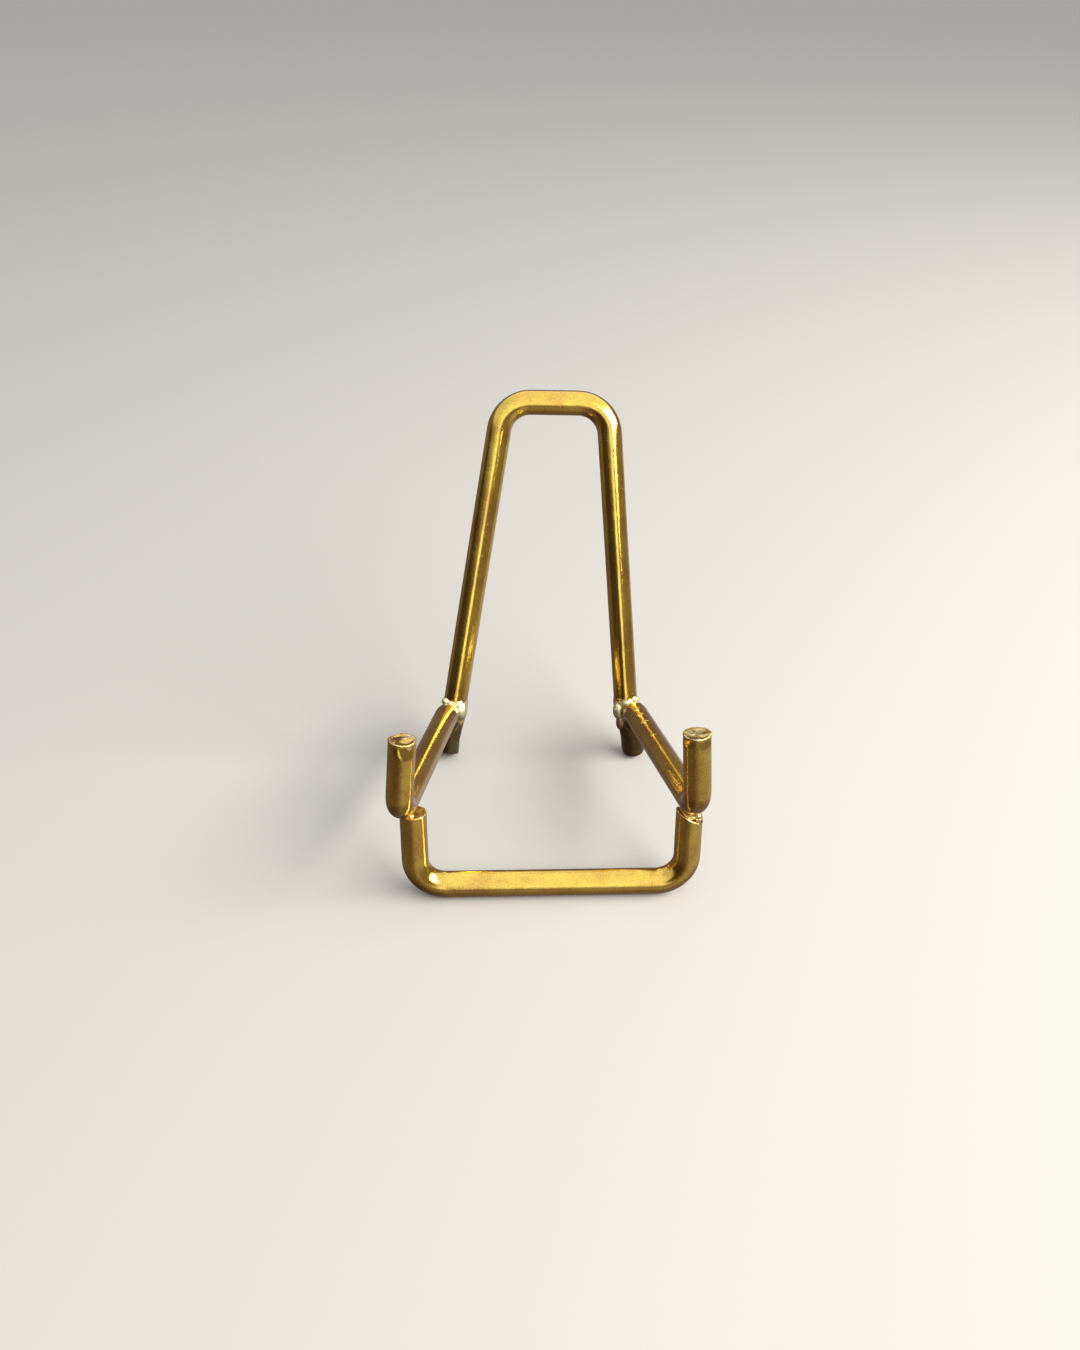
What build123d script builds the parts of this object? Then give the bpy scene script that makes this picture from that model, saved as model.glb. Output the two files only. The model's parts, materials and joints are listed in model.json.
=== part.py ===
from build123d import *
from math import acos, asin, atan2, cos, degrees, hypot, radians, sin, tan
import os

# Display easel bent from round brass wire: four wires joined by four braze fillets.
#
# Sizes are given in the ledge frame. Its X runs across the easel, its Y runs back along the side
# rods and its Z stands square to them. The ledge frame leans back by ledge_tilt, which follows
# from the wires' sizes, so that the front bar and both rear feet rest on the table at Z = 0.

# Wire
wire_d = 4.0
wire_r = wire_d / 2
cut_round = 0.3  # edge rounding left on a cut end

# Side rods: a peg at the front, an arm and a rear foot
arm_front_x = 21.5
arm_rear_x = 15.4
arm_length = 36.0
peg_bend_r = 3.4
foot_bend_r = 4.4
left_peg_height = 12.0
right_peg_height = 12.3
left_peg_lean = 5.1  # degrees towards the middle
right_peg_lean = 3.6
foot_splay = 6.0  # degrees outwards
left_foot_height = 9.0
left_foot_cut = 20.0  # degrees off square, longest at the back
right_foot_round = 1.6

# Front support: a bar on the table with an upright at each end
support_y = 3.5
support_bar_drop = 14.4
support_half_width = 20.4
support_shift = 0.6  # sideways, as brazed
support_top_drop = 1.8
support_bend_r = 4.6
support_right_cut = 28.0  # degrees off square, lowest on the outside

# Back frame: two legs and a top bar
leg_foot_x = 14.6
leg_foot_y = 35.5
leg_foot_z = 1.0
leg_top_half_width = 8.5
leg_top_shift = 2.7  # sideways, as bent
leg_top_y = 45.3
leg_top_z = 49.9
leg_top_drop = 0.2  # of the right corner, and the left one is as much higher
leg_bend_r = 5.2

# Braze fillets
collar_r = 2.25
collar_height = 0.9
rear_fillet_drop = 7.5  # below the arm's centre line
rear_fillet_tip_r = 1.85
inside_margin = 0.05  # how far a fillet's ends run inside the wire that they blend into
left_fillet_r = 1.4
right_fillet_r = 1.9
front_fillet_top_drop = 1.0

# The table touches the front bar from below and the rounded back edge of the left foot's end.
heel_cut = radians(left_foot_cut)
heel_y = arm_length + wire_r - cut_round
heel_drop = left_foot_height + (wire_r - cut_round) * tan(heel_cut) - cut_round / cos(heel_cut)
heel_run = heel_y - support_y
heel_rise = support_bar_drop - heel_drop
ledge_tilt = atan2(heel_rise, heel_run) + asin((wire_r - cut_round) / hypot(heel_run, heel_rise))

# The rounded end of the right foot touches the same table.
table_depth = heel_y * sin(ledge_tilt) + heel_drop * cos(ledge_tilt) + cut_round
foot_lean = acos(cos(radians(foot_splay)) * cos(ledge_tilt))  # of the foot's axis off plumb
right_foot_flat_r = wire_r - right_foot_round
rounding_depth = table_depth - right_foot_round - right_foot_flat_r * sin(foot_lean)
rounding_drop = (rounding_depth - arm_length * sin(ledge_tilt)) / cos(ledge_tilt)
right_foot_height = rounding_drop + right_foot_round * cos(radians(foot_splay))

# The origin is under the middle of the bounding box, on the table.
front_reach = peg_bend_r * (cos(ledge_tilt) + sin(ledge_tilt)) - peg_bend_r - wire_r
back_reach = leg_top_y * cos(ledge_tilt) + (leg_top_z + leg_top_drop) * sin(ledge_tilt) + wire_r
ledge_rise = support_bar_drop * cos(ledge_tilt) + support_y * sin(ledge_tilt) + wire_r
ledge = Plane(
    origin=(0, -(front_reach + back_reach) / 2, ledge_rise),
    x_dir=(1, 0, 0),
    z_dir=(0, sin(ledge_tilt), cos(ledge_tilt)),
)


def ledge_plane(x, y, z, tilt=(0, 0, 0)):
    """A plane at a point of the ledge frame, square to its Z before the tilt in degrees."""
    return Plane(ledge.location * Location((x, y, z), tilt))


def bend_wire(points, bend_radii):
    """Sweep the round wire along straight runs joined by tangent bends."""
    with BuildLine(ledge) as route:
        FilletPolyline(*points, radius=bend_radii)
    with BuildSketch(Plane(origin=route.line @ 0, z_dir=route.line % 0)) as section:
        Circle(wire_r)
    sweep(section.sketch, path=route.line)


def shear_end(cut_plane):
    """Cut off the wire end that stands on the front side of a plane centred near it."""
    with BuildSketch(cut_plane) as blade:
        Rectangle(3 * wire_d, 3 * wire_d)
    extrude(blade.sketch, amount=3 * wire_d, mode=Mode.SUBTRACT)


def side_rod_points(side, peg_height, peg_lean, foot_height):
    """Peg top, front corner, rear corner and foot end; side is -1 for left and 1 for right."""
    peg_top_x = arm_front_x - peg_height * tan(radians(peg_lean))
    foot_end_x = arm_rear_x + foot_height * tan(radians(foot_splay))
    return [
        (side * peg_top_x, 0, peg_height),
        (side * arm_front_x, 0, 0),
        (side * arm_rear_x, arm_length, 0),
        (side * foot_end_x, arm_length, -foot_height),
    ]


os.makedirs("parts", exist_ok=True)

# Left side rod, its foot sheared off at a slant
with BuildPart() as left_side_rod:
    bend_wire(
        side_rod_points(-1, left_peg_height, left_peg_lean, left_foot_height + wire_r),
        [peg_bend_r, foot_bend_r],
    )
    shear_end(ledge_plane(-arm_rear_x, arm_length, -left_foot_height, (180 - left_foot_cut, 0, 0)))
    cut_edges = left_side_rod.faces().filter_by(GeomType.PLANE).edges()
    fillet(cut_edges, cut_round)
left_side_rod.part.label = "left_side_rod"

# Right side rod, its foot end rounded over
with BuildPart() as right_side_rod:
    bend_wire(
        side_rod_points(1, right_peg_height, right_peg_lean, right_foot_height),
        [peg_bend_r, foot_bend_r],
    )
    cut_faces = right_side_rod.faces().filter_by(GeomType.PLANE).sort_by(Axis.Z)
    fillet(cut_faces[0].edges(), right_foot_round)
    fillet(cut_faces[-1].edges(), cut_round)
right_side_rod.part.label = "right_side_rod"

# Front support, its ends standing under the arms
with BuildPart() as front_support:
    left_x = support_shift - support_half_width
    right_x = support_shift + support_half_width
    bend_wire(
        [
            (left_x, support_y, -support_top_drop),
            (left_x, support_y, -support_bar_drop),
            (right_x, support_y, -support_bar_drop),
            (right_x, support_y, -support_top_drop),
        ],
        [support_bend_r, support_bend_r],
    )
    slant_drop = support_top_drop + wire_r * tan(radians(support_right_cut))
    shear_end(ledge_plane(right_x, support_y, -slant_drop, (0, support_right_cut, 0)))
    add(left_side_rod.part, mode=Mode.SUBTRACT)
    add(right_side_rod.part, mode=Mode.SUBTRACT)
front_support.part.label = "front_support"

# Back frame, its legs cut level and standing on the rods' rear bends
with BuildPart() as back_frame:
    leg_runs = [
        (-leg_foot_x, leg_foot_y, leg_foot_z),
        (leg_top_shift - leg_top_half_width, leg_top_y, leg_top_z + leg_top_drop),
        (leg_top_shift + leg_top_half_width, leg_top_y, leg_top_z - leg_top_drop),
        (leg_foot_x, leg_foot_y, leg_foot_z),
    ]
    bend_wire(leg_runs, [leg_bend_r, leg_bend_r])
    add(left_side_rod.part, mode=Mode.SUBTRACT)
    add(right_side_rod.part, mode=Mode.SUBTRACT)
back_frame.part.label = "back_frame"


def rear_fillet(side):
    """Braze collar at a leg's end that runs out down the inner side of the rod's foot."""
    rise = collar_height / (leg_top_z - leg_foot_z)
    top_x = side * leg_foot_x + rise * (leg_top_shift + side * (leg_top_half_width - leg_foot_x))
    top_y = leg_foot_y + rise * (leg_top_y - leg_foot_y)
    tip_x = side * (arm_rear_x + rear_fillet_drop * tan(radians(foot_splay)))
    rings = [
        (top_x, top_y, leg_foot_z + collar_height, wire_r - inside_margin),
        (side * leg_foot_x, leg_foot_y, leg_foot_z, collar_r),
        (tip_x, arm_length, -rear_fillet_drop, rear_fillet_tip_r),
    ]
    outlines = []
    for x, y, z, ring_r in rings:
        with BuildSketch(ledge_plane(x, y, z)) as outline:
            Circle(ring_r)
        outlines.append(outline.sketch)
    loft(outlines, ruled=True)


def front_fillet(x, fillet_r, bottom_drop):
    """Braze between an upright's end and the arm above it."""
    with BuildSketch(ledge_plane(x, support_y, -bottom_drop)) as outline:
        Circle(fillet_r)
    extrude(outline.sketch, amount=bottom_drop - front_fillet_top_drop)


# Rear fillets, where the back frame's legs stand on the side rods
with BuildPart() as left_rear_braze:
    rear_fillet(-1)
    add([left_side_rod.part, back_frame.part], mode=Mode.SUBTRACT)
left_rear_braze.part.label = "left_rear_braze"

with BuildPart() as right_rear_braze:
    rear_fillet(1)
    add([right_side_rod.part, back_frame.part], mode=Mode.SUBTRACT)
right_rear_braze.part.label = "right_rear_braze"

# Front fillets, where the arms rest on the front support
with BuildPart() as left_front_braze:
    arm_x = arm_front_x - (arm_front_x - arm_rear_x) * support_y / arm_length
    front_fillet((left_x - arm_x) / 2, left_fillet_r, support_top_drop)
    add([left_side_rod.part, front_support.part], mode=Mode.SUBTRACT)
left_front_braze.part.label = "left_front_braze"

with BuildPart() as right_front_braze:
    front_fillet(right_x, right_fillet_r, 2 * slant_drop)
    add([right_side_rod.part, front_support.part], mode=Mode.SUBTRACT)
right_front_braze.part.label = "right_front_braze"

wires = [left_side_rod, right_side_rod, front_support, back_frame]
brazes = [left_rear_braze, right_rear_braze, left_front_braze, right_front_braze]
for piece in wires + brazes:
    export_step(piece.part, f"parts/{piece.part.label}.step")

print("ledge tilt", round(degrees(ledge_tilt), 2), "degrees")
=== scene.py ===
import json
import math
import random

import bmesh
import bpy
from mathutils import Matrix, Vector


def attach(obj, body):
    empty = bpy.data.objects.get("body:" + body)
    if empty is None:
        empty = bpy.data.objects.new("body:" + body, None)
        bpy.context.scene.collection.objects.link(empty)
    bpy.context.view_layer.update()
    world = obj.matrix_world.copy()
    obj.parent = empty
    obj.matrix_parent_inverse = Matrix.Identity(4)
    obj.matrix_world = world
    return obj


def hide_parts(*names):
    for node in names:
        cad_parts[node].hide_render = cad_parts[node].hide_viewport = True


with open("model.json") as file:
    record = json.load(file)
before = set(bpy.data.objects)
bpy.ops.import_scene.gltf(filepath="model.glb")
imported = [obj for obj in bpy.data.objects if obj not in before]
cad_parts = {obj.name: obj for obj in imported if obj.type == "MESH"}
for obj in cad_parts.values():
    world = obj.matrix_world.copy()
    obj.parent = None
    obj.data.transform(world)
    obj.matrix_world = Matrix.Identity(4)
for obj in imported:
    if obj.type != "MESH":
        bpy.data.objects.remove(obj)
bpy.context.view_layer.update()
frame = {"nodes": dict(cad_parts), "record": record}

print("frame loaded:", len(frame["nodes"]), "nodes")

# Pieces are modelled in millimetres in the easel's ledge frame: X across, Y back along the
# side rods, Z square to them. The ledge mount of the frame says where that is, and each
# finished piece is placed there in metres.
wire = {"radius": 2.0, "sides": 44, "step": 0.5, "bendStep": 6.0, "drawLine": 0.018, "ledgeMountY": 18.0}
near = {"ringDepth": 0.01, "ring": 1.3 * wire["radius"], "cutEnd": 1.6 * wire["radius"]}  # how far from a tip
# what handling, brazing and plating leave on every wire: sizes and depths in millimetres
wear = {
    # name, size, depth, and the vertex group it is kept to
    "clouds": (("handBent", 5.0, 0.04, ""), ("grain", 0.55, 0.008, ""), ("torn", 0.7, 0.24, "cutEnds")),
    "cutReach": 0.4, "nickHalfWidth": 0.14, "nickAbove": 0.4, "rimGrip": 0.45,
}
dieWear = random.Random(7)
ledgeMount = next(m for m in frame["record"]["mounts"] if m["name"] == "ledge")
ledgeUp = Vector(ledgeMount["axis"])
ledgeBack = ledgeUp.cross(Vector((1, 0, 0)))
mm = 0.001
ledgeOrigin = Vector(ledgeMount["pos_m"]) - mm * (ledgeUp * wire["radius"] + ledgeBack * wire["ledgeMountY"])
ledgePlace = Matrix((
    (1, ledgeBack.x, ledgeUp.x, ledgeOrigin.x),
    (0, ledgeBack.y, ledgeUp.y, ledgeOrigin.y),
    (0, ledgeBack.z, ledgeUp.z, ledgeOrigin.z),
    (0, 0, 0, 1),
))


def deselectAll():
    if bpy.context.object and bpy.context.object.mode != "OBJECT":
        bpy.ops.object.mode_set(mode="OBJECT")
    bpy.ops.object.select_all(action="DESELECT")


def pick(piece):
    deselectAll()
    piece.select_set(True)
    bpy.context.view_layer.objects.active = piece


def selectRing(piece, tip, outward, profile):
    # the first end ring lies square to the wire, short of the tip by what the profile adds
    centre = tip - outward * addedLength(profile)
    bpy.ops.mesh.select_mode(type="VERT")
    bpy.ops.mesh.select_all(action="DESELECT")
    mesh = bmesh.from_edit_mesh(piece.data)
    for vert in mesh.verts:
        offset = vert.co - centre
        vert.select = abs(offset.dot(outward)) < near["ringDepth"] and offset.length < near["ring"]
    mesh.select_flush(True)
    bmesh.update_edit_mesh(piece.data)


def applyModifier(piece, kind, name, settings):
    pick(piece)
    modifier = piece.modifiers.new(name, kind)
    for key, value in settings.items():
        setattr(modifier, key, value)
    bpy.ops.object.modifier_apply(modifier=name)


def roughen(piece, name, size, strength, group=""):
    # cloudy unevenness of the surface, over the whole piece or in one vertex group
    texture = bpy.data.textures.new(name, "CLOUDS")
    texture.noise_scale = size
    texture.noise_depth = 2
    applyModifier(piece, "DISPLACE", name, {
        "texture": texture, "strength": strength, "mid_level": 0.5,
        "texture_coords": "LOCAL", "vertex_group": group})


def placePiece(piece):
    # from ledge millimetres to metres on the table, with the place in the mesh
    pick(piece)
    piece.matrix_world = ledgePlace @ Matrix.Scale(mm, 4)
    bpy.ops.object.transform_apply(location=True, rotation=True, scale=True)
    bpy.ops.object.mode_set(mode="EDIT")
    bpy.ops.mesh.select_all(action="SELECT")
    bpy.ops.mesh.normals_make_consistent(inside=False)
    bpy.ops.object.mode_set(mode="OBJECT")
    bpy.ops.object.shade_smooth()


def addedLength(profile):
    advance = 0.0
    reach = 0.0
    for step, _ in profile:
        advance += step
        reach = max(reach, advance)
    return reach


def startWire(name, start, heading):
    deselectAll()
    turn = heading.to_track_quat("Z", "Y").to_euler()
    bpy.ops.mesh.primitive_circle_add(
        vertices=wire["sides"], radius=wire["radius"], location=start, rotation=turn)
    piece = bpy.context.object
    piece.name = name
    bpy.ops.object.transform_apply(location=True, rotation=True, scale=True)
    # the die's wear draws fine lines along the whole wire
    for vert in piece.data.vertices:
        spoke = vert.co - start
        vert.co = start + spoke * (1 + dieWear.uniform(-wire["drawLine"], wire["drawLine"]) / wire["radius"])
    bpy.ops.object.mode_set(mode="EDIT")
    bpy.ops.mesh.select_mode(type="EDGE")
    bpy.ops.mesh.select_all(action="SELECT")
    return piece


def drawRun(length, heading):
    count = max(1, round(length / wire["step"]))
    for _ in range(count):
        bpy.ops.mesh.extrude_region_move(TRANSFORM_OT_translate={"value": heading * (length / count)})


def bendWire(name, corners, bendRadii, startProfile, endProfile):
    # straight runs joined by tangent bends, drawn along with the end ring
    points = [Vector(c) for c in corners]
    # an end's profile adds to the wire, so the run stops short by as much
    points[0] += (points[1] - points[0]).normalized() * addedLength(startProfile)
    points[-1] += (points[-2] - points[-1]).normalized() * addedLength(endProfile)
    headings = [(b - a).normalized() for a, b in zip(points, points[1:])]
    piece = startWire(name, points[0], headings[0])
    position = points[0]
    for corner, heading, following, radius in zip(points[1:], headings, headings[1:], bendRadii):
        turn = heading.angle(following)
        setback = radius * math.tan(turn / 2)
        bendStart = corner - heading * setback
        drawRun((bendStart - position).length, heading)
        axis = heading.cross(following).normalized()
        inward = axis.cross(heading)
        steps = max(3, math.ceil(math.degrees(turn) / wire["bendStep"]))
        bpy.ops.mesh.spin(steps=steps, angle=-turn, center=bendStart + inward * radius, axis=axis)
        position = corner + following * setback
    drawRun((points[-1] - position).length, headings[-1])
    return piece


def shapeEnd(piece, profile, tip, outward):
    # each step of the profile: how far the cut end's edge moves out, and its radius as a share of the wire's
    previous = 1.0
    centre = tip - outward * addedLength(profile)
    for advance, share in profile:
        bpy.ops.mesh.extrude_region_move(TRANSFORM_OT_translate={"value": outward * advance})
        centre = centre + outward * advance
        ratio = share / previous
        bpy.ops.transform.resize(value=(ratio, ratio, ratio), center_override=centre)
        previous = share
    bpy.ops.mesh.edge_face_add()


def slantEnd(angle, turnAxis, centre):
    # turns the end ring to the shear's slant and stretches it back onto the wire
    # with no window open, the rotate tool turns the other way
    bpy.ops.transform.rotate(value=-angle, orient_axis=turnAxis, center_override=centre)
    stretch = 1 / math.cos(angle)
    value = (1, stretch, stretch) if turnAxis == "X" else (stretch, 1, stretch)
    bpy.ops.transform.resize(value=value, center_override=centre)


def markCutEnds(piece, ends, bruises):
    # an end is (tip, outward direction of the cut face); the mark fades out behind the cut
    # a bruise is (centre, size), where the shears pressed on the wire's side
    group = piece.vertex_groups.new(name="cutEnds")
    for vert in piece.data.vertices:
        for centre, size in bruises:
            nearness = 1 - (vert.co - centre).length / size
            if nearness > 0:
                group.add([vert.index], nearness, "REPLACE")
        for tip, outward in ends:
            offset = vert.co - Vector(tip)
            depth = -offset.dot(outward)
            if offset.length < near["cutEnd"] and depth < wear["cutReach"]:
                group.add([vert.index], min(1.0, 1 - depth / wear["cutReach"]), "REPLACE")


def nickWire(piece, nicks):
    # shallow cross marks left by the brazing clamp: (place along Y, slant, depth), on the upper side only
    bpy.ops.object.mode_set(mode="EDIT")
    bpy.ops.mesh.select_mode(type="VERT")
    for y, slant, depth in nicks:
        bpy.ops.mesh.select_all(action="DESELECT")
        mesh = bmesh.from_edit_mesh(piece.data)
        for vert in mesh.verts:
            across = abs(vert.co.x) - sideRod["armRearX"]
            onMark = abs(vert.co.y - y - slant * across) < wear["nickHalfWidth"]
            vert.select = onMark and vert.co.z > wear["nickAbove"]
        bmesh.update_edit_mesh(piece.data)
        bpy.ops.transform.shrink_fatten(value=-depth)
    bpy.ops.object.mode_set(mode="OBJECT")


def pressRim(piece, rim, push, reach):
    # the shears' jaw has pushed in the cut edge and what is next to it
    bpy.ops.object.mode_set(mode="EDIT")
    bpy.ops.mesh.select_mode(type="VERT")
    bpy.ops.mesh.select_all(action="DESELECT")
    mesh = bmesh.from_edit_mesh(piece.data)
    for vert in mesh.verts:
        vert.select = (vert.co - rim).length < wear["rimGrip"]
    bmesh.update_edit_mesh(piece.data)
    bpy.ops.transform.translate(value=push, use_proportional_edit=True, proportional_edit_falloff="LINEAR",
                                proportional_size=reach)
    bpy.ops.object.mode_set(mode="OBJECT")


def finishWire(piece, ends, nicks=(), bruises=(), presses=()):
    # hand-bent waviness, plating grain and torn shear faces
    bpy.ops.object.mode_set(mode="OBJECT")
    applyModifier(piece, "SUBSURF", "round", {"levels": 1, "render_levels": 1})
    for rim, push, reach in presses:
        pressRim(piece, rim, push, reach)
    markCutEnds(piece, ends, bruises)
    nickWire(piece, nicks)
    for name, size, strength, group in wear["clouds"]:
        roughen(piece, name, size, strength, group)
    placePiece(piece)


# a cut end's edge, from the wire inwards: (advance in mm, share of the wire's radius)
burredEnd = ((0.18, 1.045), (0.12, 1.03), (0.05, 0.93), (-0.12, 0.84), (-0.06, 0.6), (0.0, 0.3), (0.0, 0.1))
cleanEnd = ((0.12, 0.985), (0.1, 0.93), (0.05, 0.84), (0.0, 0.6), (0.0, 0.3), (0.0, 0.1))
domedEnd = ((0.35, 0.985), (0.4, 0.93), (0.4, 0.8), (0.25, 0.6), (0.1, 0.35), (0.0, 0.12))

# What differs between the rods is given for the left (-1) and the right (1).
# A nick is (place along Y, slant, depth), a bruise (offset, size), a press (offset, push, reach);
# these offsets are from the middle of the peg's top.
sideRod = {
    "armFrontX": 21.5, "armRearX": 15.4, "armLength": 36.0, "pegBend": 3.4, "footBend": 4.4, "footSplay": 6.0,
    "pegHeight": {-1: 12.0, 1: 12.3}, "pegLean": {-1: 5.1, 1: 3.6}, "footHeight": {-1: 8.94, 1: 9.75},
    "footCut": {-1: 20.0, 1: 0.0}, "footEnd": {-1: cleanEnd, 1: domedEnd},
    "nicks": {-1: [(22.5, 0.2, 0.04)], 1: [(29.6, 0.5, 0.09), (28.2, -0.4, 0.08), (27.3, 0.5, 0.06),
                                           (24.6, 0.3, 0.08), (21.0, -0.3, 0.05)]},
    "bruises": {-1: [((1.3, -1.4, -0.8), 1.1)], 1: [((-1.2, -1.6, -0.3), 0.9), ((1.3, -1.5, -0.2), 0.8)]},
    "presses": {-1: [((1.1, -1.65, 0), (-0.3, 0.45, -0.3), 2.2), ((-1.5, 1.3, 0), (0, 0, -0.25), 1.5)],
                1: [((-1.7, -1.0, 0), (0.25, 0.15, -0.15), 1.3), ((1.2, -1.6, 0), (-0.2, 0.25, -0.2), 1.2)]},
}


def sideRodCorners(side):
    # peg top, front corner, rear corner and foot end
    pegHeight, footHeight = sideRod["pegHeight"][side], sideRod["footHeight"][side]
    pegTopX = sideRod["armFrontX"] - pegHeight * math.tan(math.radians(sideRod["pegLean"][side]))
    footEndX = sideRod["armRearX"] + footHeight * math.tan(math.radians(sideRod["footSplay"]))
    return [
        (side * pegTopX, 0, pegHeight),
        (side * sideRod["armFrontX"], 0, 0),
        (side * sideRod["armRearX"], sideRod["armLength"], 0),
        (side * footEndX, sideRod["armLength"], -footHeight),
    ]


pieces = {}
for side, name in ((-1, "left_side_rod"), (1, "right_side_rod")):
    corners = sideRodCorners(side)
    footProfile = sideRod["footEnd"][side]
    footCut = math.radians(sideRod["footCut"][side])
    bends = (sideRod["pegBend"], sideRod["footBend"])
    piece = bendWire(name + "_bent", corners, bends, burredEnd, footProfile)
    footEnd = Vector(corners[3])
    footDown = (footEnd - Vector(corners[2])).normalized()
    if footCut:
        slantEnd(-footCut, "X", footEnd - footDown * addedLength(footProfile))
    shapeEnd(piece, footProfile, footEnd, footDown)
    pegTop = Vector(corners[0])
    pegUp = (pegTop - Vector(corners[1])).normalized()
    selectRing(piece, pegTop, pegUp, burredEnd)
    shapeEnd(piece, burredEnd, pegTop, pegUp)
    footFace = Matrix.Rotation(footCut, 3, "X") @ Vector((0, 0, -1))
    bruises = [(pegTop + Vector(offset), size) for offset, size in sideRod["bruises"][side]]
    presses = [(pegTop + Vector(offset), Vector(push), reach)
               for offset, push, reach in sideRod["presses"][side]]
    finishWire(piece, [(pegTop, pegUp), (footEnd, footFace)], sideRod["nicks"][side], bruises, presses)
    pieces[name] = piece
print("side rods bent")

support = {
    "y": 3.5, "barDrop": 14.4, "halfWidth": 20.4, "shift": 0.6, "topDrop": 1.8, "bend": 4.6, "rightCut": 28.0,
}
leftX = support["shift"] - support["halfWidth"]
rightX = support["shift"] + support["halfWidth"]
slantDrop = support["topDrop"] + wire["radius"] * math.tan(math.radians(support["rightCut"]))
supportCorners = [
    (leftX, support["y"], -support["topDrop"]),
    (leftX, support["y"], -support["barDrop"]),
    (rightX, support["y"], -support["barDrop"]),
    (rightX, support["y"], -slantDrop),
]
supportBends = (support["bend"], support["bend"])
frontSupport = bendWire("front_support_bent", supportCorners, supportBends, burredEnd, cleanEnd)
up = Vector((0, 0, 1))
slantEnd(math.radians(support["rightCut"]), "Y", Vector(supportCorners[3]) - up * addedLength(cleanEnd))
shapeEnd(frontSupport, cleanEnd, Vector(supportCorners[3]), up)
selectRing(frontSupport, Vector(supportCorners[0]), up, burredEnd)
shapeEnd(frontSupport, burredEnd, Vector(supportCorners[0]), up)
rightFace = Matrix.Rotation(math.radians(support["rightCut"]), 3, "Y") @ up
finishWire(frontSupport, [(supportCorners[0], up), (supportCorners[3], rightFace)])
pieces["front_support"] = frontSupport
print("front support bent")

back = {
    "footX": 14.6, "footY": 35.5, "footZ": 1.2, "topHalfWidth": 8.5, "topShift": 2.7, "topY": 45.3,
    "topZ": 49.9, "topDrop": 0.2, "bend": 5.2,
}
backCorners = [
    (-back["footX"], back["footY"], back["footZ"]),
    (back["topShift"] - back["topHalfWidth"], back["topY"], back["topZ"] + back["topDrop"]),
    (back["topShift"] + back["topHalfWidth"], back["topY"], back["topZ"] - back["topDrop"]),
    (back["footX"], back["footY"], back["footZ"]),
]
backFrame = bendWire("back_frame_bent", backCorners, (back["bend"], back["bend"]), burredEnd, burredEnd)
legEnds = []
for corner, neighbour in ((backCorners[3], backCorners[2]), (backCorners[0], backCorners[1])):
    legEnd = Vector(corner)
    legDown = (legEnd - Vector(neighbour)).normalized()
    selectRing(backFrame, legEnd, legDown, burredEnd)
    shapeEnd(backFrame, burredEnd, legEnd, legDown)
    legEnds.append((legEnd, legDown))
finishWire(backFrame, legEnds)
pieces["back_frame"] = backFrame
print("back frame bent")

# melted metal: how finely it is laid down, and how far it flows together
solder = {"runSides": 28, "beadDetail": 3, "flow": 0.6, "flowPasses": 8, "lumpSize": 0.9}


def pourFillet(rings):
    # a tapering run of metal: each ring is (centre, radius)
    (start, firstRadius), rest = rings[0], rings[1:]
    deselectAll()
    bpy.ops.mesh.primitive_circle_add(
        vertices=solder["runSides"], radius=firstRadius, location=start, fill_type="NGON")
    piece = bpy.context.object
    bpy.ops.object.transform_apply(location=True, rotation=True, scale=True)
    bpy.ops.object.mode_set(mode="EDIT")
    bpy.ops.mesh.select_mode(type="FACE")
    bpy.ops.mesh.select_all(action="SELECT")
    place, radius = Vector(start), firstRadius
    for centre, nextRadius in rest:
        bpy.ops.mesh.extrude_region_move(TRANSFORM_OT_translate={"value": Vector(centre) - place})
        ratio = nextRadius / radius
        bpy.ops.transform.resize(value=(ratio, ratio, ratio), center_override=centre)
        place, radius = Vector(centre), nextRadius
    bpy.ops.object.mode_set(mode="OBJECT")
    return piece


def fuseBeads(name, runs, beads, voxel, lumps):
    # beads are (centre, half sizes); they and the runs are fused into one lumpy fillet
    made = [pourFillet(rings) for rings in runs]
    deselectAll()
    for place, size in beads:
        bpy.ops.mesh.primitive_ico_sphere_add(
            subdivisions=solder["beadDetail"], radius=1, location=place, scale=size)
        made.append(bpy.context.object)
    deselectAll()
    for bead in made:
        bead.select_set(True)
    bpy.context.view_layer.objects.active = made[0]
    bpy.ops.object.join()
    piece = bpy.context.object
    piece.name = name
    bpy.ops.object.transform_apply(location=True, rotation=True, scale=True)
    applyModifier(piece, "REMESH", "fuse", {"mode": "VOXEL", "voxel_size": voxel})
    applyModifier(piece, "SMOOTH", "flow", {"factor": solder["flow"], "iterations": solder["flowPasses"]})
    roughen(piece, "lumps", solder["lumpSize"], lumps)
    placePiece(piece)
    return piece


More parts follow.
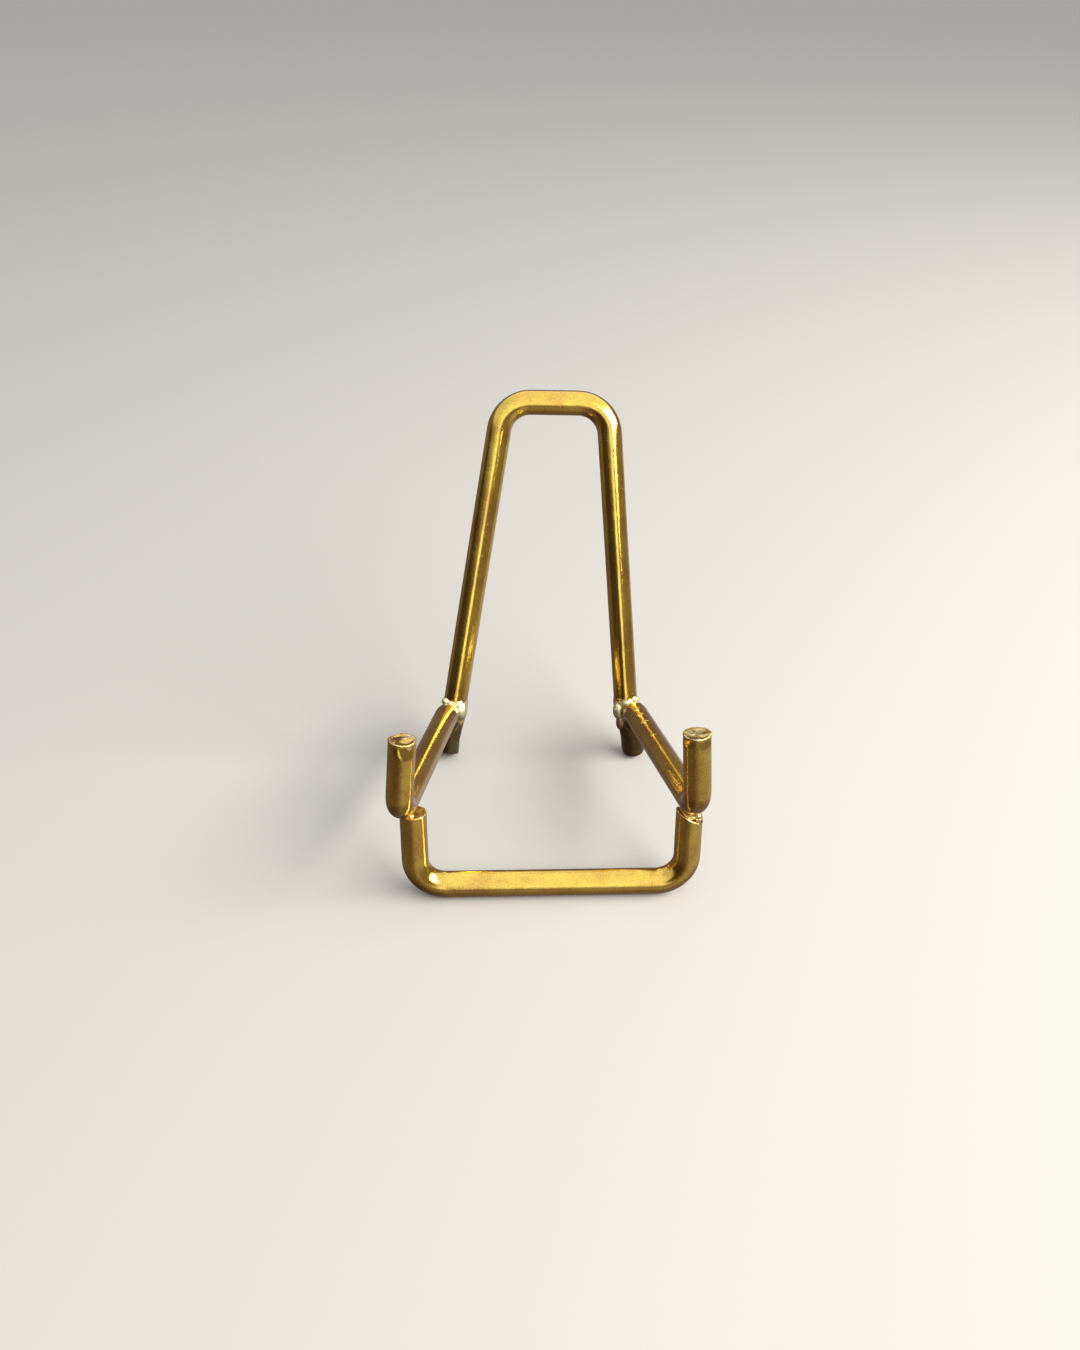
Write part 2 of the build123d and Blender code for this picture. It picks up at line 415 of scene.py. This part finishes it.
# the run's rings are (centre on the right side, radius, whether the side's spread widens it)
rearBraze = {
    "voxel": 0.1, "lumps": 0.1, "spread": {-1: 1.0, 1: 0.98},
    "run": [
        ((14.55, 35.6, 2.0), 1.98, False),
        ((14.6, 35.5, 1.3), 2.12, True),
        ((14.65, 35.5, 0.6), 2.2, True),
        ((14.75, 35.7, -0.6), 2.12, True),
        ((15.05, 35.9, -2.2), 2.02, False),
        ((15.55, 36.0, -4.2), 1.97, False),
        ((15.95, 36.0, -6.2), 1.92, False),
        ((16.15, 36.0, -7.6), 1.8, False),
    ],
    "beads": {
        -1: [((-13.75, 34.5, -0.1), (1.15, 1.3, 1.8)), ((-13.9, 35.0, -2.2), (0.7, 0.9, 1.6)),
             ((-16.2, 34.4, 1.7), (0.75, 0.7, 0.6)), ((-15.2, 34.0, 1.6), (0.9, 0.6, 0.4))],
        1: [((13.3, 34.4, -0.4), (0.95, 1.1, 1.6)), ((13.7, 34.9, -2.6), (0.7, 0.9, 1.7)),
            ((16.0, 34.3, 1.8), (0.9, 0.6, 0.45))],
    },
}


def rearRun(side):
    # from just above the leg's end, down the inner side of the rod's foot
    spread = rearBraze["spread"][side]
    return [((side * x, y, z), radius * spread if wide else radius)
            for (x, y, z), radius, wide in rearBraze["run"]]


for side, name in ((-1, "left_rear_braze"), (1, "right_rear_braze")):
    pieces[name] = fuseBeads(
        name + "_bead", [rearRun(side)], rearBraze["beads"][side], rearBraze["voxel"], rearBraze["lumps"])

frontBraze = {
    "voxel": 0.06, "lumps": {-1: 0.08, 1: 0.16},
    "beads": {
        -1: [((-20.5, 3.4, -1.85), (0.9, 1.5, 0.35)), ((-20.1, 2.6, -1.8), (0.6, 0.7, 0.3))],
        1: [((21.2, 3.4, -2.6), (1.6, 1.7, 0.6)), ((22.2, 3.0, -3.0), (0.7, 1.2, 0.5)),
            ((21.9, 4.4, -2.7), (0.8, 0.8, 0.6)), ((22.0, 2.2, -2.4), (0.6, 0.5, 0.5))],
    },
}
for side, name in ((-1, "left_front_braze"), (1, "right_front_braze")):
    pieces[name] = fuseBeads(
        name + "_bead", [], frontBraze["beads"][side], frontBraze["voxel"], frontBraze["lumps"][side])
print("braze fused")


def toLinear(hexColour):
    channels = [int(hexColour[i:i + 2], 16) / 255 for i in (1, 3, 5)]
    return tuple(c / 12.92 if c <= 0.04045 else ((c + 0.055) / 1.055) ** 2.4 for c in channels) + (1,)


def addNode(tree, kind, settings=None, links=None):
    # a key is a socket's name or number, or else one of the node's own settings
    node = tree.nodes.new(kind)
    for key, value in (settings or {}).items():
        if isinstance(key, int) or key in node.inputs:
            node.inputs[key].default_value = value
        else:
            setattr(node, key, value)
    for key, source in (links or {}).items():
        tree.links.new(source, node.inputs[key])
    return node


def newMaterial(name):
    material = bpy.data.materials.new(name)
    material.use_nodes = True
    material.node_tree.nodes.clear()
    return material, material.node_tree


# the patterns that all the finishes share: how each noise is spread, and how deep a pit is in metres
pattern = {
    "stain": {"Detail": 5.0, "Roughness": 0.6}, "stainSpread": (0.38, 0.62),
    "grain": {"Detail": 3.0, "Roughness": 0.65}, "grainSpread": (0.35, 0.65),
    "pitCore": 0.5, "pitBump": 0.6, "pitDepth": 0.00005,
}


def brassMaterial(name, look):
    # stained, grained and pitted metal under lacquer; a Mix node's sockets are 0 share, 6 and 7 colours
    material, tree = newMaterial(name)
    place = addNode(tree, "ShaderNodeTexCoord").outputs["Object"]
    stain = addNode(tree, "ShaderNodeTexNoise", {"Scale": 1 / look["stainSize"], **pattern["stain"]}, {
        "Vector": place}).outputs["Fac"]
    stainMask = addNode(tree, "ShaderNodeMapRange", {
        "From Min": pattern["stainSpread"][0], "From Max": pattern["stainSpread"][1]}, {
        "Value": stain}).outputs["Result"]
    grain = addNode(tree, "ShaderNodeTexNoise", {"Scale": 1 / look["grainSize"], **pattern["grain"]}, {
        "Vector": place}).outputs["Fac"]
    grainMask = addNode(tree, "ShaderNodeMapRange", {
        "From Min": pattern["grainSpread"][0], "From Max": pattern["grainSpread"][1]}, {
        "Value": grain}).outputs["Result"]
    pits = addNode(tree, "ShaderNodeTexVoronoi", {"Scale": 1 / look["pitSpacing"]}, {
        "Vector": place}).outputs["Distance"]
    pitMask = addNode(tree, "ShaderNodeMapRange", {
        "From Min": look["pitSize"] * pattern["pitCore"], "From Max": look["pitSize"]}, {
        "Value": pits}).outputs["Result"]
    ground = addNode(tree, "ShaderNodeMix", {
        "data_type": "RGBA", 6: toLinear(look["dull"]), 7: toLinear(look["bright"])}, {
        0: stainMask}).outputs[2]
    if "paintedHighlightAbove" in look:
        # painted highlight: the braze keeps its near-white colour only up high, where the key light's glint
        # falls, and takes the colour of the plating lower down
        low, high = look["paintedHighlightAbove"]
        height = addNode(tree, "ShaderNodeSeparateXYZ", {}, {"Vector": place}).outputs["Z"]
        paintedHighlightMask = addNode(tree, "ShaderNodeMapRange", {"From Min": low, "From Max": high}, {"Value": height})
        ground = addNode(tree, "ShaderNodeMix", {"data_type": "RGBA", 6: toLinear(platedWire["dull"])}, {
            0: paintedHighlightMask.outputs["Result"], 7: ground}).outputs[2]
    if "paintedLowShade" in look:
        # painted shade: the feet, the rear ends of the arms and the braze are darkened low down at the back,
        # for the shadowed floor they would mirror
        lowShade = look["paintedLowShade"]
        at = addNode(tree, "ShaderNodeSeparateXYZ", {}, {"Vector": place}).outputs
        behind = addNode(tree, "ShaderNodeMapRange", {
            "From Min": lowShade["back"][0], "From Max": lowShade["back"][1]}, {"Value": at["Y"]})
        low = addNode(tree, "ShaderNodeMapRange", {
            "From Min": lowShade["height"][1], "From Max": lowShade["height"][0]}, {"Value": at["Z"]})
        lowShadeMask = addNode(tree, "ShaderNodeMath", {"operation": "MULTIPLY"}, {
            0: behind.outputs["Result"], 1: low.outputs["Result"]})
        ground = addNode(tree, "ShaderNodeMix", {
            "data_type": "RGBA", "blend_type": "MULTIPLY", 7: toLinear(lowShade["colour"])}, {
            0: lowShadeMask.outputs[0], 6: ground}).outputs[2]
    grained = addNode(tree, "ShaderNodeMix", {
        "data_type": "RGBA", "blend_type": "MULTIPLY", 0: look["grainDepth"]}, {
        6: ground, 7: grainMask}).outputs[2]
    pitted = addNode(tree, "ShaderNodeMix", {"data_type": "RGBA", 6: toLinear(look["pitColour"])}, {
        0: pitMask, 7: grained}).outputs[2]
    roughness = addNode(tree, "ShaderNodeMapRange", {
        "To Min": look["roughness"][1], "To Max": look["roughness"][0]}, {
        "Value": grainMask}).outputs["Result"]
    peel = addNode(tree, "ShaderNodeBump", {"Strength": look["bump"], "Distance": look["bumpHeight"]}, {
        "Height": grain}).outputs["Normal"]
    normal = addNode(tree, "ShaderNodeBump", {
        "Strength": pattern["pitBump"], "Distance": pattern["pitDepth"]}, {
        "Height": pitMask, "Normal": peel}).outputs["Normal"]
    shader = addNode(tree, "ShaderNodeBsdfPrincipled", {
        "Metallic": 1.0, "Coat Weight": look["lacquer"], "Coat Roughness": look["lacquerRoughness"]}, {
        "Base Color": pitted, "Roughness": roughness, "Normal": normal})
    addNode(tree, "ShaderNodeOutputMaterial", {}, {"Surface": shader.outputs["BSDF"]})
    return material


# Sizes, spacings and heights in the looks are in metres, and pitSize is a share of the spacing.
# The plating's orange peel is really about 0.1 mm across and is drawn coarser, at 0.26 mm, so
# that it shows.
# polished brass plating over cold-drawn wire, clear lacquered: mirror-bright, with a fine orange peel
platedWire = {
    "dull": "#E6B84A", "bright": "#FDDE58", "stainSize": 0.006,
    "grainSize": 0.00026, "grainDepth": 0.24, "bump": 0.46, "bumpHeight": 0.00004, "roughness": (0.07, 0.14),
    "pitColour": "#3A2408", "pitSpacing": 0.0022, "pitSize": 0.05,
    "lacquer": 0.9, "lacquerRoughness": 0.06,
    # painted shade: a grey multiplied into the wire low down at the back, where the feet would mirror the
    # shadowed floor
    "paintedLowShade": {"colour": "#777A7E", "back": (-0.003, 0.004), "height": (0.0095, 0.013)},
}
# wire ends sheared off and plated over: torn, lighter and rougher than the drawn surface
shearedEnd = {
    "dull": "#C0903A", "bright": "#FFEBB0", "stainSize": 0.0012,
    "grainSize": 0.0002, "grainDepth": 0.3, "bump": 0.8, "bumpHeight": 0.00004, "roughness": (0.22, 0.4),
    "pitColour": "#6B4212", "pitSpacing": 0.0012, "pitSize": 0.08,
    "lacquer": 0.3, "lacquerRoughness": 0.2,
}
# braze metal, fused and left to flow: paler than the wire, with a softer gloss
fusedBraze = {
    "dull": "#F5E6A2", "bright": "#FDFDDC", "stainSize": 0.0016,
    "grainSize": 0.0003, "grainDepth": 0.15, "bump": 0.4, "bumpHeight": 0.00003, "roughness": (0.3, 0.46),
    "pitColour": "#6B4A14", "pitSpacing": 0.0015, "pitSize": 0.05,
    # painted highlight: the braze is near-white only above this height and plating-coloured below it
    "lacquer": 0.6, "lacquerRoughness": 0.1, "paintedHighlightAbove": (0.006, 0.0095),
    # painted shade: the same grey multiplied into the braze low down at the back
    "paintedLowShade": {"colour": "#777A7E", "back": (-0.003, 0.004), "height": (0.006, 0.009)},
}
# the front fillets are smaller and fully plated over, nearer to the wire's colour
platedBraze = {**fusedBraze, "dull": "#E2B85C", "bright": "#FFE69C"}
wireMaterial = brassMaterial("polishedBrassPlatingOnDrawnWire", platedWire)
endMaterial = brassMaterial("shearedAndPlatedBrassEnd", shearedEnd)
brazeMaterial = brassMaterial("fusedBrazeMetal", fusedBraze)
platedBrazeMaterial = brassMaterial("fusedBrazeUnderPlating", platedBraze)
endShare = 0.35  # vertices marked more than this belong to a cut end

for name, piece in pieces.items():
    isBraze = name.endswith("braze")
    piece.data.materials.clear()
    fillet = platedBrazeMaterial if "front" in name else brazeMaterial
    piece.data.materials.append(fillet if isBraze else wireMaterial)
    if not isBraze:
        piece.data.materials.append(endMaterial)
        group = piece.vertex_groups["cutEnds"].index
        onEnd = [any(mark.group == group and mark.weight > endShare for mark in vert.groups)
                 for vert in piece.data.vertices]
        for face in piece.data.polygons:
            face.material_index = int(all(onEnd[v] for v in face.vertices))
    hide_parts(name)
    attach(piece, "root")
print("materials made")

paper = {"size": 14, "colour": "#A9A8A5", "roughness": 0.9, "gloss": 0.1}
deselectAll()
bpy.ops.mesh.primitive_plane_add(size=paper["size"], location=(0, 0, 0))
floor = bpy.context.object
floor.name = "floor"
floorMaterial, floorTree = newMaterial("paleMattPaper")
floorShader = addNode(floorTree, "ShaderNodeBsdfPrincipled", {
    "Base Color": toLinear(paper["colour"]), "Roughness": paper["roughness"],
    "Specular IOR Level": paper["gloss"]})
addNode(floorTree, "ShaderNodeOutputMaterial", {}, {"Surface": floorShader.outputs["BSDF"]})
floor.data.materials.append(floorMaterial)
floor.visible_glossy = False  # the wires mirror the studio's light, not the paper

# A bright ceiling with soft edges, a tall gap of light in front, a dim wall behind, and darker
# surroundings below, dimmest on the left. Heights, edges and azimuths are in degrees; left,
# right and turn are places across the view of the sky, from -1 to 1.
studio = {
    "ceiling": {"radiance": (0.75, 1.22), "left": -0.7, "right": -0.1, "front": (14, 31), "back": (24, 31)},
    "below": {"radiance": (0.06, 0.24), "left": -0.5, "right": 0.4},
    "floor": {"glow": (0.08, 0.2), "glowEdge": (-22, -8), "share": 0.5, "shareEdge": (-55, -35)},
    "frontGap": {"azimuth": 3, "core": 4, "edge": 10, "radiance": (0.24, 1.6), "height": (-16, 16)},
    "backWall": {"radiance": 0.18, "height": (-28, -14), "turn": 0.3},
    "tint": {"colour": "#FFDFE0", "dimmest": 0.1, "brightest": 0.65},
    "backdrop": "#DCDAD6",
}
world = bpy.data.worlds.new("studio")
bpy.context.scene.world = world
world.use_nodes = True
worldTree = world.node_tree
worldTree.nodes.clear()


def sines(angles):
    return [math.sin(math.radians(angle)) for angle in angles]


ceiling, below, ground = studio["ceiling"], studio["below"], studio["floor"]
gap, wall = studio["frontGap"], studio["backWall"]
# each row adds one light, mask or angle: its name, what is done, and with what
# a soft step's terms are its source, where it starts and ends, and its values there
lightPlan = (
    ("sideLight", "SMOOTHSTEP", "x", below["left"], below["right"], *below["radiance"]),
    ("floorGlow", "SMOOTHSTEP", "x", below["left"], below["right"], *ground["glow"]),
    ("floorMask", "SMOOTHSTEP", "z", *sines(ground["glowEdge"]), 1, 0),
    ("floorLight", "MULTIPLY", "floorGlow", "floorMask"),
    ("openLight", "ADD", "sideLight", "floorLight"),
    ("floorShare", "SMOOTHSTEP", "z", *sines(ground["shareEdge"]), ground["share"], 1),
    ("belowLight", "MULTIPLY", "openLight", "floorShare"),
    ("towardFront", "MULTIPLY", "y", -1),
    ("azimuth", "ARCTAN2", "x", "towardFront"),
    ("fromGap", "SUBTRACT", "azimuth", math.radians(gap["azimuth"])),
    ("offGap", "ABSOLUTE", "fromGap"),
    ("gapMask", "SMOOTHSTEP", "offGap", math.radians(gap["core"]), math.radians(gap["edge"]), 1, 0),
    ("gapGlow", "SMOOTHSTEP", "z", *sines(gap["height"]), *gap["radiance"]),
    ("gapLight", "MULTIPLY", "gapMask", "gapGlow"),
    ("behind", "SMOOTHSTEP", "y", -wall["turn"], wall["turn"], 0, 1),
    ("wallHeight", "SMOOTHSTEP", "z", *sines(wall["height"]), 0, 1),
    ("wallMask", "MULTIPLY", "behind", "wallHeight"),
    ("wallLight", "MULTIPLY", "wallMask", wall["radiance"]),
    ("nearLight", "MAXIMUM", "wallLight", "gapLight"),
    ("lowLight", "MAXIMUM", "belowLight", "nearLight"),
    ("frontMask", "SMOOTHSTEP", "z", *sines(ceiling["front"]), 0, 1),
    ("backMask", "SMOOTHSTEP", "z", *sines(ceiling["back"]), 0, 1),
    ("backChange", "SUBTRACT", "backMask", "frontMask"),
    ("backShare", "MULTIPLY", "behind", "backChange"),
    ("ceilingMask", "ADD", "frontMask", "backShare"),
    ("ceilingLight", "SMOOTHSTEP", "x", ceiling["left"], ceiling["right"], *ceiling["radiance"]),
)
direction = addNode(worldTree, "ShaderNodeTexCoord").outputs["Generated"]
axes = addNode(worldTree, "ShaderNodeSeparateXYZ", {}, {"Vector": direction}).outputs
light = {"x": axes["X"], "y": axes["Y"], "z": axes["Z"]}
for name, operation, *terms in lightPlan:
    if operation == "SMOOTHSTEP":
        kind, sockets = "ShaderNodeMapRange", ("Value", "From Min", "From Max", "To Min", "To Max")
        settings = {"interpolation_type": operation}
    else:
        kind, sockets = "ShaderNodeMath", (0, 1)
        settings = {"operation": operation}
    settings.update({socket: term for socket, term in zip(sockets, terms) if term not in light})
    links = {socket: light[term] for socket, term in zip(sockets, terms) if term in light}
    light[name] = addNode(worldTree, kind, settings, links).outputs[0]

radiance = addNode(worldTree, "ShaderNodeMix", {"data_type": "FLOAT"}, {
    0: light["ceilingMask"], 2: light["lowLight"], 3: light["ceilingLight"]}).outputs[0]
tintMask = addNode(worldTree, "ShaderNodeMapRange", {
    "interpolation_type": "SMOOTHSTEP", "From Min": studio["tint"]["dimmest"],
    "From Max": studio["tint"]["brightest"]}, {"Value": radiance}).outputs["Result"]
tint = addNode(worldTree, "ShaderNodeMix", {
    "data_type": "RGBA", 6: toLinear(studio["tint"]["colour"]), 7: toLinear("#FFFFFF")}, {
    0: tintMask}).outputs[2]
surroundings = addNode(worldTree, "ShaderNodeBackground", {}, {"Color": tint, "Strength": radiance})
# seen directly, the studio is one plain pale backdrop
backdrop = addNode(worldTree, "ShaderNodeBackground", {
    "Color": toLinear(studio["backdrop"]), "Strength": 1.0})
lightPath = addNode(worldTree, "ShaderNodeLightPath").outputs
worldShader = addNode(worldTree, "ShaderNodeMixShader", {}, {
    "Fac": lightPath["Is Camera Ray"], 1: surroundings.outputs["Background"],
    2: backdrop.outputs["Background"]})
addNode(worldTree, "ShaderNodeOutputWorld", {}, {"Surface": worldShader.outputs["Shader"]})


# azimuth 0 is the front and 90 the right side; distance and size are in metres, power in watts
keySoftbox = {
    "name": "keyRight", "azimuth": 65, "elevation": 37, "distance": 0.6, "size": (0.7, 0.26), "power": 8.5,
    "colour": "#FFFAF0",
}


def addSoftbox(box):
    around, above = math.radians(box["azimuth"]), math.radians(box["elevation"])
    level = math.cos(above)
    toward = Vector((math.sin(around) * level, -math.cos(around) * level, math.sin(above)))
    panel = bpy.data.lights.new(box["name"], "AREA")
    panel.shape = "RECTANGLE"
    panel.size, panel.size_y = box["size"]
    panel.energy = box["power"]
    panel.color = toLinear(box["colour"])[:3]
    lamp = bpy.data.objects.new(box["name"], panel)
    lamp.location = toward * box["distance"]
    lamp.rotation_euler = (-lamp.location).to_track_quat("-Z", "Y").to_euler()
    bpy.context.scene.collection.objects.link(lamp)


addSoftbox(keySoftbox)

# the camera's place in millimetres, its angles in degrees, its nearest and furthest view in metres
view = {
    "place": (-5.97, -150.1, 126.58), "azimuth": 2.11, "elevation": 34.947, "roll": 0.558,
    "lens": 30.35, "sensor": 36, "clip": (0.005, 50),
}
cameraData = bpy.data.cameras.new("camera")
cameraData.lens = view["lens"]
cameraData.sensor_width = view["sensor"]
cameraData.clip_start, cameraData.clip_end = view["clip"]
camera = bpy.data.objects.new("camera", cameraData)
turn, dip, roll = (math.radians(view[key]) for key in ("azimuth", "elevation", "roll"))
ahead = Vector((math.sin(turn) * math.cos(dip), math.cos(turn) * math.cos(dip), -math.sin(dip)))
level = ahead.cross(Vector((0, 0, 1))).normalized()
upward = level.cross(ahead)
right = level * math.cos(roll) + upward * math.sin(roll)
top = right.cross(ahead)
camera.matrix_world = Matrix((
    (right.x, top.x, -ahead.x, view["place"][0] * mm),
    (right.y, top.y, -ahead.y, view["place"][1] * mm),
    (right.z, top.z, -ahead.z, view["place"][2] * mm),
    (0, 0, 0, 1),
))
bpy.context.scene.collection.objects.link(camera)
bpy.context.scene.camera = camera
bpy.context.scene.view_settings.view_transform = "Standard"
print("camera set")
